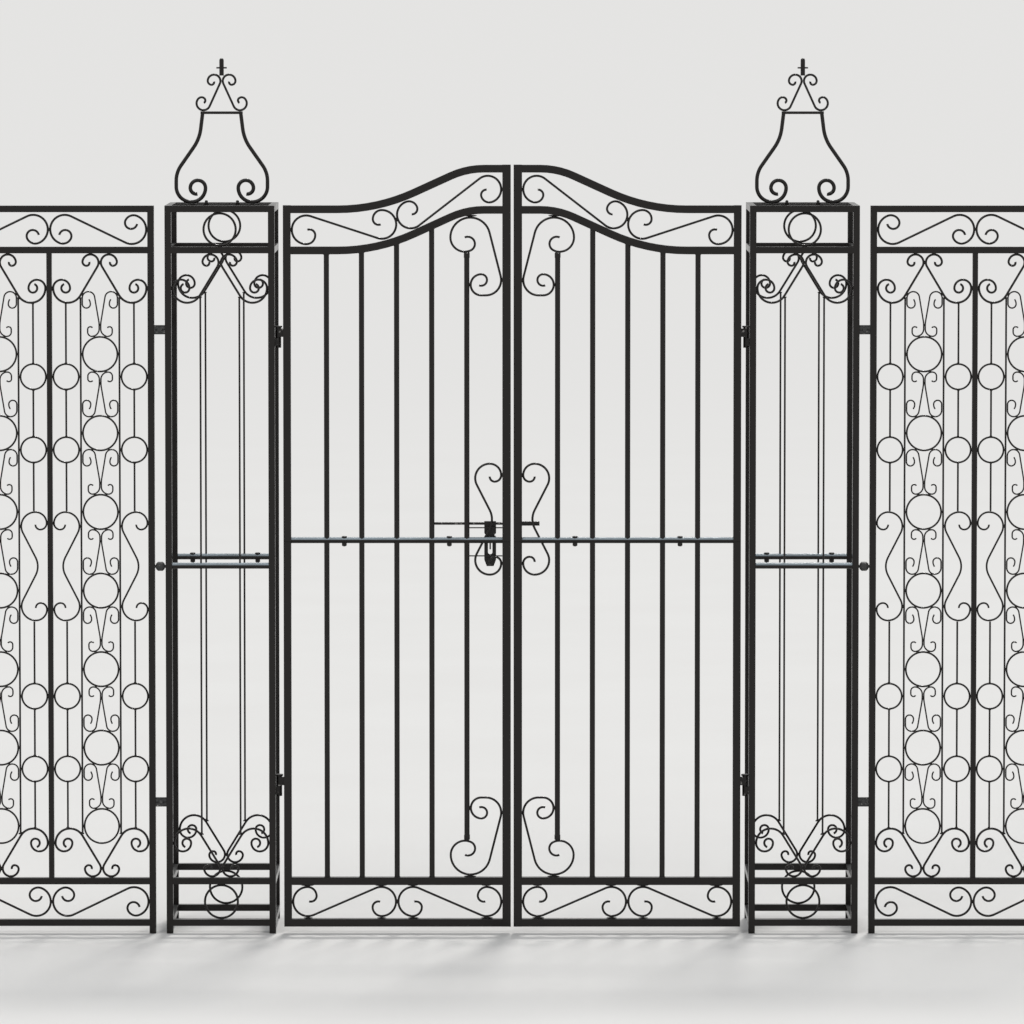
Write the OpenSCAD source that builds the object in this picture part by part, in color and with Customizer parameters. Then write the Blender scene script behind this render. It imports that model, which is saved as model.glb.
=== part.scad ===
// Double-leaf garden and driveway gate of black painted steel, with two cage pillars,
// a scroll finial on each pillar and one ornamental fence panel on each side.
// Millimetres. X runs along the gate, Y to the rear (the way the leaves open), Z up.

/* [Leaves] */
// Width of one leaf, stile to stile
leaf_w = 595; // [480:1:760]
// Height of the leaf at its hinge stile
leaf_side_h = 1895; // [1500:5:2300]
// How far the crown stands above the hinge side
crown_rise = 106; // [60:1:160]
// Gap between the two closed leaves
leaf_gap = 7.4; // [6:0.2:12]
// Gap between the leaf and its pillar, where the hinges sit
hinge_gap = 22; // [20:0.5:30]
// Clearance under the leaf
ground_gap = 18; // [10:1:60]
// Square tube of the leaf frame
leaf_tube = 20; // [16:1:30]
// Square tube of the meeting stile
meeting_tube = 22; // [16:1:30]
// How far a stile's cap stands above the rail welded to it
cap_rise = 0.5; // [0.3:0.1:2]
// Flat length of the top rail beside the meeting stile
crown_flat = 70; // [40:1:120]
// Centreline radius of the crown's bend
crown_bend = 209; // [120:1:320]
// Slope of the rail between the two bends
crown_slope = 24.5; // [15:0.5:30]
// Centreline radius of the bend down to the hinge side
dip_bend = 480; // [300:5:600]
// Drop from the top rail to the second rail
band_drop = 107.5; // [80:0.5:140]
// Height of the bottom scroll band, from rail bottom to lower rail top
base_band = 130; // [90:1:180]

/* [Bars] */
// Diameter of the upright bars
bar_d = 14; // [10:0.5:20]
// Spacing of the upright bars
bar_pitch = 91.7; // [70:0.1:110]
// Distance from the meeting edge to the first, short bar
first_bar = 115; // [95:1:140]
// Number of full-length bars in a leaf
full_bars = 4; // [2:1:6]
// Height of the middle rail's axis above the ground
mid_rail_z = 1036; // [800:1:1300]
// Diameter of the middle rail
mid_rail_d = 16; // [15:0.5:24]

/* [Leaf scrolls] */
// Diameter of the scroll rods
rod_d = 6; // [5:0.5:10]
// Gap that the weld closes where a scroll meets its neighbour
weld_gap = 0.2; // [0.1:0.1:0.8]
// Bend radius of the curls in the bottom band
base_curl = 38.5; // [25:0.5:50]
// Distance from the meeting edge to where the two arched scrolls meet
arch_joint = 298; // [250:1:340]
// Bend radius of the curls beside that joint
arch_curl = 37.4; // [25:0.1:40]
// Bend radius of the small curl of a scroll beside the short bar
stile_curl = 40; // [30:0.5:55]
// Bend radius of its big curl
bar_curl = 51.9; // [35:0.1:65]
// Distance from the rail to the small curl's centre
stile_curl_rise = 170; // [130:1:220]
// Distance from the rail to the big curl's centre
bar_curl_rise = 58.5; // [55:0.5:80]
// Distance from the meeting edge to the big curl's centre
bar_curl_x = 105.8; // [90:0.1:130]
// Width of the brace-shaped scroll beside the lock, between rod centres
brace_w = 68; // [50:0.5:90]
// Height of the brace-shaped scroll's waist above the ground
brace_z = 1091; // [1000:1:1300]

/* [Hinges] */
// Diameter of the hinge barrel
barrel_d = 15.5; // [12:0.5:19]
// Height of one hinge knuckle
knuckle_h = 26; // [18:1:40]
// Diameter of the hinge pin
pin_d = 8; // [6:0.5:10]
// Radial clearance of the pin in its knuckle
pin_fit = 0.08; // [0.02:0.01:0.1]
// Clearance between the barrel and the post
barrel_gap = 1; // [0.6:0.1:3]
// Height of the upper hinge's joint line
upper_hinge_z = 1566.5; // [1300:0.5:1750]
// Height of the lower hinge's joint line
lower_hinge_z = 387.5; // [250:0.5:600]
// Diameter of the cap on the pin
hinge_cap_d = 21; // [17:0.5:23]

/* [Bolt] */
// Diameter of the sliding bolt
bolt_d = 7; // [6:0.5:12]
// Length of the sliding bolt
bolt_l = 200; // [150:1:260]
// Height of the bolt's axis above the ground
bolt_z = 1078; // [1000:1:1200]
// Radial clearance of the bolt in its guides
bolt_fit = 0.5; // [0.3:0.1:1.5]
// Length of the keeper tube that takes the bolt
keeper_l = 68; // [40:1:90]
// Radial clearance of the bolt in the keeper tube
keeper_fit = 1; // [0.8:0.1:2]
// Wall of the keeper tube
keeper_wall = 1.4; // [1:0.1:3]
// Distance of the bolt's axis behind the leaf's middle plane
bolt_back = 22; // [20:0.5:28]
// Thickness of a guide along the bolt
guide_t = 8; // [5:0.5:10]
// Width of the bolt's hanging handle
handle_w = 31; // [20:1:40]
// Distance from the meeting edge to the handle's middle
handle_x = 54; // [50:0.5:80]
// Drop of the handle below the bolt's axis
handle_drop = 112; // [90:1:150]
// Thickness of the handle plate
handle_t = 5; // [3:0.5:8]
// Width of the slot in the handle plate
slot_w = 11.5; // [6:0.5:16]
// Heights of the two lock straps above the ground
upper_strap_z = 1068; // [1060:1:1069]
lower_strap_z = 994; // [960:1:1020]
// Thickness of a lock strap
strap_t = 3; // [2:0.5:6]

/* [Pillars] */
// Width of a pillar, square in plan
pillar_w = 287; // [220:1:400]
// Square tube of the pillar frames
post_tube = 17; // [14:0.5:25]
// Height of the pillars and panels
pillar_h = 1912.5; // [1500:0.5:2400]
// Drop from the leaf's middle rail to the pillar's middle rail
pillar_mid_drop = 67; // [0:1:120]
// Distance of the two fine bars from the pillar's middle
pillar_bar_x = 51; // [30:0.5:60]

/* [Corner scrolls] */
// Bend radius of the small curls where two scrolls lean together
lean_small = 21; // [15:0.1:30]
// Bend radius of the big curls beside the posts
lean_big = 38; // [25:0.5:45]
// Distance from the rail to the big curl's centre
lean_drop = 91.5; // [80:0.5:130]

/* [Finials] */
// Diameter of the finial's legs
leg_d = 10; // [7:0.5:14]
// Height of the crossbar above the pillar
crossbar_z = 240; // [200:1:300]
// Length of the crossbar
crossbar_l = 111; // [90:1:140]
// Thickness of the crossbar
crossbar_t = 7; // [5:0.5:10]
// Distance of a leg's top from the finial's middle
leg_x = 50; // [40:0.5:60]
// Bend radius of the legs' feet
foot_curl = 40; // [30:0.5:50]
// Bend radius of the upper scrolls' top curls
crest_curl = 16.7; // [10:0.1:22]
// Bend radius of the upper scrolls' bottom curls
seat_curl = 18; // [10:0.5:24]
// Height of the top curls' centre above the crossbar
crest_rise = 83.3; // [60:0.1:100]
// Distance of the bottom curls' centre from the finial's middle
seat_x = 48; // [40:0.5:60]
// Diameter of the knob
knob_d = 12; // [8:0.5:20]
// Length of the knob above the curls
knob_l = 46; // [30:1:70]
// Diameter of the knob's collar
collar_d = 28; // [18:0.5:40]

/* [Fence] */
// Width of a fence panel
panel_w = 548; // [400:1:900]
// Gap between the panel and the pillar
panel_gap = 28; // [15:0.5:50]
// Square tube of the panel's middle stile
panel_mid_tube = 14; // [10:0.5:20]
// Diameter of the fine bars, fine rods and rings
fine_d = 5; // [4:0.5:8]
// Diameter of the paired scrolls' rods
thin_d = 4; // [3:0.5:6]
// Distance of the fine bars from the middle of their bay
panel_bar_x = 50.6; // [40:0.1:60]
// Straight length in a paired scroll
pair_l = 64.9; // [40:0.1:90]
// Bend radius of a paired scroll's wide curl
pair_wide = 16.2; // [10:0.1:20]
// Bend radius of a paired scroll's narrow curl
pair_narrow = 19; // [12:0.5:24]
// Bend radius of the band scrolls of the panel
band_curl = 38; // [25:0.5:42]
// Spacing of the small rings in the side columns
side_pitch = 191.6; // [120:0.1:240]
// Distance from the panel's half height up to the nearest small ring
side_up = 306; // [240:1:360]
// Distance from the panel's half height down to the nearest small ring
side_down = 342; // [240:1:400]
// Diameter of the coupling between panel and pillar
coupling_d = 24; // [16:0.5:30]
// Height of the upper clamp between panel and pillar
clamp_z = 1588; // [1300:1:1750]

/* [Hidden] */
$fn = 64;

// Lines across the gate, measured from its middle
leaf_in = leaf_gap / 2;
leaf_out = leaf_in + leaf_w;
pillar_in = leaf_out + hinge_gap;
pillar_mid = pillar_in + pillar_w / 2;
pillar_out = pillar_in + pillar_w;
panel_in = pillar_out + panel_gap;
panel_mid = panel_in + panel_w / 2;
panel_out = panel_in + panel_w;
pivot_x = pillar_in - barrel_gap - barrel_d / 2;
pivot_y = leaf_tube / 2;
post_x = pillar_in + post_tube / 2;

// Heights
leaf_top = ground_gap + leaf_side_h;
base_rail_z = ground_gap + leaf_tube / 2;
lower_rail_z = ground_gap + base_band - leaf_tube / 2;
second_z = pillar_h - band_drop;
pillar_mid_z = mid_rail_z - pillar_mid_drop;
post_span = pillar_w - post_tube;

// Clear field of the pillars and panels, between their second and lower rails
field_top = second_z - post_tube;
field_base = lower_rail_z + post_tube / 2;
pillar_half = pillar_w / 2 - post_tube;
bay_half = (panel_w / 2 - post_tube - panel_mid_tube / 2) / 2;
bay_mid = panel_mid_tube / 2 + bay_half;

// A rod end that runs this far into the next bend makes the union sound
lap = 0.4;
// Alternate lengths differ by this much in diameter
shade = 0.1;

module steel() {
    color([0.05, 0.048, 0.046]) children();
}

// The whole gate is drawn about its middle and handed over with the left hinge post's foot at zero
module placed() {
    translate([post_x, 0, 0]) children();
}

module right_side() {
    children();
}

module left_side() {
    mirror([1, 0, 0]) children();
}

module at_back() {
    translate([0, post_span, 0]) children();
}

// Cross-section of a rod or of a square tube
module section(d, square_bar) {
    if (square_bar) {
        square([d, d], center = true);
    } else {
        circle(d = d);
    }
}

// One bend, from the origin towards +X, turning left for a positive angle
module bend(d, r, a, more, square_bar) {
    side = a > 0 ? 1 : -1;
    extra = more / r * 180 / PI;
    sweep = abs(a) + 2 * extra;
    translate([0, side * r, 0])
        rotate([0, 0, a > 0 ? -90 - extra : 90 - abs(a) - extra])
            rotate_extrude(angle = sweep)
                translate([r, 0])
                    section(d, square_bar);
}

// One straight length, from the origin towards +X
module straight(d, l, square_bar) {
    if (square_bar) {
        translate([0, -d / 2, -d / 2]) cube([l, d, d]);
    } else {
        rotate([0, 90, 0]) cylinder(d = d, h = l);
    }
}

// The pieces of a rod that follows steps from a place [x, z], with a heading in degrees above +X.
// A step [0, length] is straight and [radius, angle] is a bend, left for a positive angle.
// A piece is [place, heading, radius, length or angle, diameter, reach into its neighbours].
function rod(d, place, heading, steps, first = 0) =
    first >= len(steps) ? []
    : let (
        r = steps[first][0],
        m = steps[first][1],
        thick = first % 2 == 0,
        turn = r == 0 ? 0 : m,
        along = r == 0 ? m : r * sin(abs(m)),
        aside = r == 0 ? 0 : sign(m) * r * (1 - cos(m)),
        next = place + along * [cos(heading), sin(heading)]
            + aside * [-sin(heading), cos(heading)],
        piece = [place, heading, r, m, thick ? d : d - shade, thick ? 0 : lap]
    )
    concat([piece], rod(d, next, heading + turn, steps, first + 1));

// Draws such pieces, upright in the gate's plane
module rods(pieces, square_bar = false) {
    for (p = pieces) {
        translate([p[0][0], 0, p[0][1]])
            rotate([90, 0, 0])
                rotate([0, 0, p[1]])
                    if (p[2] == 0) {
                        translate([-p[5], 0, 0])
                            straight(p[4], p[3] + 2 * p[5], square_bar);
                    } else {
                        bend(p[4], p[2], p[3], p[5], square_bar);
                    }
    }
}

// The same pieces shifted, reflected in the upright line x = 0, or turned over about z = 0
function moved(pieces, shift) =
    [for (p = pieces) [p[0] + shift, p[1], p[2], p[3], p[4], p[5]]];

function reflected(pieces) =
    [for (p = pieces) [
        [-p[0][0], p[0][1]], 180 - p[1], p[2], p[2] == 0 ? p[3] : -p[3], p[4], p[5]
    ]];

function inverted(pieces) =
    [for (p = pieces) [
        [p[0][0], -p[0][1]], -p[1], p[2], p[2] == 0 ? p[3] : -p[3], p[4], p[5]
    ]];

// Pieces about x = 0 and their reflection, set about an upright line at x
function both_sides(pieces, x) = moved(concat(pieces, reflected(pieces)), [x, 0]);

// Pieces above z = 0 set on the foot of a field, and turned over below its top
function foot_and_top(pieces, foot, top) =
    concat(moved(pieces, [0, foot]), moved(inverted(pieces), [0, top]));

// Steps of one curl that tightens towards its end. shape is [wrap of the first bend, share of
// the radius and angle of the second, share and angle of the last]; turn is 1 for left, -1 for right
function curl(r, shape, turn) = [
    [r, turn * shape[0]],
    [r * shape[1], turn * shape[2]],
    [r * shape[3], turn * shape[4]]
];

open_curl = [200, 0.62, 90, 0.4, 110];
snail_curl = [185, 0.62, 80, 0.42, 200];
hook_curl = [150, 0.58, 180, 0.3, 250];
lean_curl = [200, 0.5, 100, 0.36, 110];

// Heading of the straight rod that touches both curls of a scroll
function rod_heading(a, ra, b, rb, side, same) =
    atan2(b[1] - a[1], b[0] - a[0])
    + side * (same ? -asin((rb - ra) / norm(b - a)) : asin((ra + rb) / norm(b - a)));

// A scroll of two curls with a straight rod tangent to both.
// a and b are the curls' centres, ra and rb their radii. side says where a lies
// seen along the rod: 1 for left, -1 for right. same is true where b lies on that side too.
function scroll(d, a, ra, b, rb, side, same, shape_a, shape_b) =
    let (
        run = norm(b - a),
        heading = rod_heading(a, ra, b, rb, side, same),
        spread = same ? rb - ra : ra + rb,
        l = sqrt(run * run - spread * spread),
        start = a + side * ra * [sin(heading), -cos(heading)],
        end = start + l * [cos(heading), sin(heading)]
    )
    concat(
        rod(d, start, heading, [[0, 0], [0, l]], 1),
        rod(d, end, heading, curl(rb, shape_b, same ? side : -side)),
        rod(d, start, heading + 180, curl(ra, shape_a, -side))
    );

// A scroll shaped like a typeset brace, with its waist and both curls towards -X.
// x is the middle of the rod where the curls come nearest the stile, w the width to the lobes.
brace_lobe = [[0, 1.103], [0.559, 117], [0.441, 90], [0.25, 90], [0.191, 90]];

function brace_scroll(x, z, d, w) =
    let (
        r = 0.765 * w,
        up = [for (s = brace_lobe) [s[0] * w, s[0] == 0 ? s[1] * w : s[1]]],
        down = [for (s = brace_lobe) [s[0] * w, s[0] == 0 ? s[1] * w : -s[1]]],
        start = [x + 0.354 * w + r * (1 - cos(27)), z - r * sin(27)]
    )
    concat(
        rod(d, start, 117, concat([[r, -54]], up)),
        rod(d, start, 297, concat([[0, 0]], down), 1)
    );

// Half the height of such a scroll, to the middle of its rod
function brace_half(w) = w * (0.765 * sin(27) + 1.103 * cos(27) + 0.559 * (1 + sin(27)));

// A plain ring in the gate's plane
module ring(x, z, outer_r, d) {
    translate([x, 0, z])
        rotate([90, 0, 0])
            rotate_extrude()
                translate([outer_r - d / 2, 0])
                    circle(d = d);
}

// A level square rail between two X positions
module rail(x0, x1, z, t) {
    translate([x0, -t / 2, z - t / 2]) cube([x1 - x0, t, t]);
}

// An upright square tube
module stile(x, z0, z1, t) {
    translate([x - t / 2, -t / 2, z0]) cube([t, t, z1 - z0]);
}

// An upright round bar
module bar(x, z0, z1, d) {
    translate([x, 0, z0]) cylinder(d = d, h = z1 - z0);
}

// Steps of the arched rail from the meeting stile to the hinge stile
slope_rise = crown_rise
    - crown_bend * (1 - cos(crown_slope))
    - dip_bend * (1 - cos(crown_slope));
slope_l = slope_rise / sin(crown_slope);
arch_run = crown_flat + (crown_bend + dip_bend) * sin(crown_slope) + slope_l * cos(crown_slope);
arch_steps = [
    [0, crown_flat - meeting_tube / 2],
    [crown_bend, -crown_slope],
    [0, slope_l],
    [dip_bend, crown_slope],
    [0, leaf_w - arch_run - leaf_tube / 2]
];

module arched_rail(top) {
    start = [leaf_in + meeting_tube / 2, top + crown_rise - leaf_tube / 2];
    rods(rod(leaf_tube, start, 0, arch_steps), true);
}

// Height of the arched rail's centreline above its hinge end, at a distance from the meeting edge
function arch_h(u) =
    u < crown_flat ? crown_rise
    : u < crown_flat + crown_bend * sin(crown_slope)
        ? crown_rise - crown_bend + sqrt(pow(crown_bend, 2) - pow(u - crown_flat, 2))
    : u < arch_run - dip_bend * sin(crown_slope)
        ? crown_rise - crown_bend * (1 - cos(crown_slope))
            - (u - crown_flat - crown_bend * sin(crown_slope)) * tan(crown_slope)
    : u < arch_run ? dip_bend - sqrt(pow(dip_bend, 2) - pow(arch_run - u, 2))
    : 0;

module leaf_frame() {
    stile(leaf_in + meeting_tube / 2, ground_gap, leaf_top + crown_rise + cap_rise, meeting_tube);
    stile(leaf_out - leaf_tube / 2, ground_gap, leaf_top + cap_rise, leaf_tube);
    arched_rail(leaf_top);
    arched_rail(leaf_top - band_drop);
    rail(leaf_in + 1, leaf_out - 1, lower_rail_z, leaf_tube);
    rail(leaf_in + 1, leaf_out - 1, base_rail_z, leaf_tube);
}

function bar_x(i) = leaf_in + first_bar + i * bar_pitch;

// Faces that the scrolls beside the short bar stand on and hang from
leaf_field_base = lower_rail_z + leaf_tube / 2;
leaf_field_top = leaf_top - band_drop - leaf_tube + arch_h(bar_curl_x) - 0.5;
bar_end = bar_curl_rise + 0.72 * bar_curl + rod_d / 2 + weld_gap;

module leaf_bars() {
    for (i = [1 : full_bars]) {
        z1 = leaf_top - band_drop - leaf_tube / 2 + arch_h(bar_x(i) - leaf_in);
        bar(bar_x(i), lower_rail_z, z1, bar_d);
    }
    bar(bar_x(0), leaf_field_base + bar_end, leaf_field_top - bar_end, bar_d);
}

module leaf_mid_rail() {
    translate([leaf_in + meeting_tube - 2, 0, mid_rail_z])
        rotate([0, 90, 0])
            cylinder(d = mid_rail_d, h = leaf_w - meeting_tube - leaf_tube + 4);
}

module leaf_grille() {
    leaf_frame();
    leaf_bars();
    leaf_mid_rail();
}

// Distance from a face to the middle of a rod welded to it
off = rod_d / 2 + weld_gap;
base_mid_z = (base_rail_z + lower_rail_z) / 2;
base_room = (leaf_w - leaf_tube - meeting_tube) / 4;

module base_scrolls() {
    r = base_curl;
    z = base_mid_z;
    x0 = leaf_in + meeting_tube;
    m = x0 + 2 * base_room;
    x1 = x0 + 4 * base_room;
    rods(scroll(rod_d, [x0 + off + r, z], r, [m - off - r, z], r,
        1, false, open_curl, open_curl));
    rods(scroll(rod_d, [m + off + r, z], r, [x1 - off - r, z], r,
        -1, false, open_curl, open_curl));
}

// Middle line of the arched band, at a distance from the meeting edge
function band_point(u) =
    [leaf_in + u, leaf_top - leaf_tube / 2 - band_drop / 2 + arch_h(u)];

module arch_scrolls() {
    crown_r = arch_curl - 2.4;
    joint_in_r = (band_drop * cos(crown_slope) - leaf_tube) / 2 - off - weld_gap;
    hinge_end = band_point(leaf_w - leaf_tube - off - arch_curl);
    crown_end = band_point(meeting_tube + off + crown_r);
    joint_out = band_point(arch_joint + arch_curl + 1.2);
    joint_in = band_point(arch_joint - joint_in_r - 1);
    rods(scroll(rod_d, hinge_end, arch_curl, joint_out, arch_curl,
        1, false, open_curl, open_curl));
    rods(scroll(rod_d, joint_in, joint_in_r, crown_end, crown_r,
        -1, false, open_curl, open_curl));
}

// The scroll between the meeting stile and the short bar, standing on z = 0. Its upper curl fits
// between stile and bar, and the bar stands on its lower curl.
upper_c = [leaf_in + meeting_tube + off + stile_curl, stile_curl_rise];
lower_c = [leaf_in + bar_curl_x, bar_curl_rise];
foot_heading = rod_heading(upper_c, stile_curl, lower_c, bar_curl, 1, true);
foot_run = sqrt(pow(norm(lower_c - upper_c), 2) - pow(bar_curl - stile_curl, 2));
foot_start = upper_c + stile_curl * [sin(foot_heading), -cos(foot_heading)];
upper_side_r = 0.69 * stile_curl;
upper_flat = bar_x(0) - bar_d / 2 - off - upper_c[0] - upper_side_r;
lower_top_r = 0.72 * bar_curl;
bar_foot_scroll = concat(
    rod(rod_d, foot_start, foot_heading, [[0, 0], [0, foot_run]], 1),
    rod(rod_d, foot_start + foot_run * [cos(foot_heading), sin(foot_heading)], foot_heading, [
        [bar_curl, 90 - foot_heading],
        [lower_top_r, 115],
        [0.36 * bar_curl, 180]
    ]),
    rod(rod_d, foot_start, foot_heading + 180, [
        [stile_curl, -foot_heading - 180],
        [0, upper_flat],
        [upper_side_r, -180],
        [0.375 * stile_curl, -200]
    ])
);

module stile_scrolls() {
    rods(foot_and_top(bar_foot_scroll, leaf_field_base, leaf_field_top));
    difference() {
        rods(brace_scroll(leaf_in + meeting_tube + off, brace_z, rod_d, brace_w));
        translate([leaf_in + meeting_tube + 2, 0, mid_rail_z])
            rotate([0, 90, 0])
                cylinder(d = mid_rail_d + 2 * weld_gap, h = brace_w + 20);
    }
}

// Two scrolls that lean together, standing on z = 0 about x = 0 between faces at -half and half
lean_a = [lean_small + rod_d / 2 + weld_gap / 2, lean_small + off];

function lean_b(half) = [half - off - lean_big, lean_drop];

function lean_slope(half) =
    rod_heading(lean_a, lean_small, lean_b(half), lean_big, -1, true);

// Height of the leaning rod's middle line above the rail, at a distance from the middle
function lean_h(x, half) =
    lean_a[1] + lean_small * cos(lean_slope(half))
    + (x - lean_a[0] + lean_small * sin(lean_slope(half))) * tan(lean_slope(half));

// Height of the upper side of a leaning scroll: its straight run, or its big curl further out
function lean_top(x, half) =
    let (curl = lean_b(half), slope = lean_slope(half), reach = lean_big + rod_d / 2)
    x > curl[0] - reach * sin(slope)
        ? curl[1] + sqrt(pow(reach, 2) - pow(curl[0] - x, 2))
        : lean_h(x, half) + rod_d / 2 / cos(slope);

// Height at which a fine bar of the field ends on the leaning scroll
function lean_end(x, half) = lean_top(x + fine_d / 2, half) + weld_gap;

function leaning_pair(half, x) =
    both_sides(scroll(rod_d, lean_a, lean_small, lean_b(half), lean_big,
        -1, true, lean_curl, hook_curl), x);

module pillar_side() {
    stile(pillar_in + post_tube / 2, 0, pillar_h, post_tube);
    stile(pillar_out - post_tube / 2, 0, pillar_h, post_tube);
    for (z = [pillar_h - post_tube / 2, second_z - post_tube / 2, lower_rail_z, base_rail_z]) {
        rail(pillar_in + 1, pillar_out - 1, z, post_tube);
    }
    translate([pillar_in + post_tube - 2, 0, pillar_mid_z])
        rotate([0, 90, 0])
            cylinder(d = mid_rail_d, h = pillar_w - 2 * post_tube + 4);
    end = lean_end(pillar_bar_x, pillar_half);
    for (s = [-1, 1]) {
        bar(pillar_mid + s * pillar_bar_x, field_base + end, field_top - end, fine_d);
    }
}

module pillar_side_rails() {
    for (x = [pillar_in + post_tube / 2, pillar_out - post_tube / 2]) {
        for (z = [pillar_h - post_tube / 2, second_z - post_tube / 2, lower_rail_z, base_rail_z]) {
            translate([x - post_tube / 2, post_tube / 2, z - post_tube / 2])
                cube([post_tube, post_span - post_tube, post_tube]);
        }
    }
    // The finial's seat
    translate([0, post_span / 2, 0])
        rail(pillar_in + 1, pillar_out - 1, pillar_h - post_tube / 2, post_tube);
}

module pillar_scrolls() {
    top_room = band_drop - post_tube;
    foot_room = lower_rail_z - base_rail_z - post_tube;
    ring(pillar_mid, second_z + top_room / 2, top_room / 2 - weld_gap, rod_d);
    ring(pillar_mid, (base_rail_z + lower_rail_z) / 2, foot_room / 2 - weld_gap, rod_d);
    rods(foot_and_top(leaning_pair(pillar_half, pillar_mid), field_base, field_top));
}

module rear_scrolls() {
    at_back() pillar_scrolls();
}

// One leg of the finial: it leans out 7 degrees, then 35, stands upright and ends in a foot curl
leg_top = 42;
leg_out = 110;
leg_slant = 58;
leg_back = 70;
leg_rest = crossbar_z - leg_d / 2 - weld_gap - foot_curl - leg_top * cos(7)
    - leg_out * (sin(35) - sin(7)) - leg_slant * cos(35) - leg_back * sin(35);
leg_steps = [
    [0, leg_top],
    [leg_out, 28],
    [0, leg_slant],
    [leg_back, -35],
    [0, leg_rest],
    [foot_curl, -90],
    [foot_curl - 3, -90],
    [foot_curl / 2, -180],
    [foot_curl * 0.4, -100]
];

module finial() {
    crest_x = crest_curl + rod_d / 2 + weld_gap / 2;
    crest_z = crossbar_z + crest_rise;
    seat_z = crossbar_z + crossbar_t / 2 + off + seat_curl;
    reach = crest_curl + rod_d / 2 + weld_gap;
    knob_z = crest_z + sqrt(reach * reach - pow(crest_x - knob_d / 2, 2));
    translate([pillar_mid, post_span / 2, pillar_h]) {
        translate([-crossbar_l / 2, -leg_d / 2 - 1, crossbar_z - crossbar_t / 2])
            cube([crossbar_l, leg_d + 2, crossbar_t]);
        rods(both_sides(rod(leg_d, [leg_x, crossbar_z], -83, leg_steps), 0));
        rods(both_sides(scroll(rod_d, [crest_x, crest_z], crest_curl,
            [seat_x, seat_z], seat_curl, 1, true, open_curl, open_curl), 0));
        translate([0, 0, knob_z]) {
            cylinder(d = knob_d, h = knob_l - knob_d / 2);
            translate([0, 0, knob_l - knob_d / 2]) sphere(d = knob_d - shade);
            translate([0, 0, knob_l * 0.4]) cylinder(d = collar_d, h = 4);
        }
    }
}

module hinge_pins() {
    tab = pillar_in - weld_gap - pivot_x;
    for (z = [upper_hinge_z, lower_hinge_z]) {
        translate([pivot_x, pivot_y, z]) {
            translate([0, 0, -knuckle_h]) cylinder(d = barrel_d, h = knuckle_h);
            cylinder(d = pin_d, h = knuckle_h + 4);
            difference() {
                translate([0, 0, knuckle_h + 1]) cylinder(d = hinge_cap_d, h = 4);
                translate([tab, -hinge_cap_d / 2, knuckle_h]) cube([hinge_cap_d, hinge_cap_d, 6]);
            }
            translate([0, -pivot_y, -knuckle_h + 5]) cube([tab, pivot_y, knuckle_h - 6]);
        }
    }
}

module hinge_eyes() {
    tab = pivot_x - leaf_out - weld_gap;
    for (z = [upper_hinge_z, lower_hinge_z]) {
        translate([pivot_x, pivot_y, z + 0.5])
            difference() {
                union() {
                    cylinder(d = barrel_d, h = knuckle_h);
                    translate([-tab, -8, 2]) cube([tab, 7, knuckle_h - 4]);
                }
                translate([0, 0, -1]) cylinder(d = pin_d + 2 * pin_fit, h = knuckle_h + 2);
            }
    }
}

module panel_grille() {
    stile(panel_in + post_tube / 2, 0, pillar_h, post_tube);
    stile(panel_mid, lower_rail_z, second_z - post_tube / 2, panel_mid_tube);
    stile(panel_out - post_tube / 2, 0, pillar_h, post_tube);
    for (z = [pillar_h - post_tube / 2, second_z - post_tube / 2, lower_rail_z, base_rail_z]) {
        rail(panel_in + 1, panel_out - 1, z, post_tube);
    }
}

// Draws a thing made about x = 0 in the middle of each bay of the panel
module each_bay() {
    for (s = [-1, 1]) {
        translate([panel_mid + s * bay_mid, 0, 0]) children();
    }
}

// Side columns of a bay, between the fine bar and the stile
column_w = bay_half - panel_bar_x - fine_d / 2;
column_x = bay_half - column_w / 2;
side_r = column_w / 2 - weld_gap;
brace_panel_w = column_w - fine_d - 2 * weld_gap;
field_mid = (field_top + field_base) / 2;
side_rings = [
    field_mid + side_up + side_pitch,
    field_mid + side_up,
    field_mid - side_down,
    field_mid - side_down - side_pitch
];

// Big rings of a bay, joined by paired scrolls
ring_r = panel_bar_x - fine_d / 2 - weld_gap;
pair_x = thin_d / 2 + weld_gap / 2;
pair_drop = 10.5;
pair_lean = 9.5;
pair_start = 60;
narrow_reach = pair_narrow + thin_d / 2 + ring_r + weld_gap;
wide_reach = pair_wide + thin_d / 2 + ring_r + weld_gap;
wide_x = pair_x + pair_start * (1 - cos(pair_lean)) + pair_l * sin(pair_lean)
    + pair_wide * cos(pair_lean);
wide_z = pair_start * sin(pair_lean) + pair_l * cos(pair_lean) - pair_wide * sin(pair_lean);
narrow_to_ring = pair_drop + sqrt(pow(narrow_reach, 2) - pow(pair_x + pair_narrow, 2));
wide_to_ring = wide_z + sqrt(pow(wide_reach, 2) - pow(wide_x, 2));
ring_pitch = narrow_to_ring + wide_to_ring;

// The first pair's wide curls touch the leaning scrolls
lean_reach = pair_wide + thin_d / 2 + rod_d / 2 + weld_gap;
first_wide = lean_h(wide_x, bay_half) + lean_reach / cos(lean_slope(bay_half));
first_ring_z = field_top - first_wide - wide_z - narrow_to_ring;
ring_count = 1 + floor((first_ring_z - field_base - ring_r - 75) / ring_pitch);

// Two paired scrolls that touch at x = 0 and z = 0, with their wide curls on top
pair_up = [
    [pair_start, -pair_lean],
    [0, pair_l],
    [pair_wide, pair_lean - 180],
    [0, pair_wide],
    [pair_wide * 0.65, -180],
    [pair_wide * 1.3, -35]
];
pair_down = [
    [0, 0],
    [0, pair_drop],
    [pair_narrow, 90],
    [pair_narrow * 0.58, 90],
    [0, pair_narrow * 0.37],
    [pair_narrow * 0.37, 140]
];
paired_scrolls = both_sides(concat(
    rod(thin_d, [pair_x, 0], 90, pair_up),
    rod(thin_d, [pair_x, 0], -90, pair_down, 1)
), 0);

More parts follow.
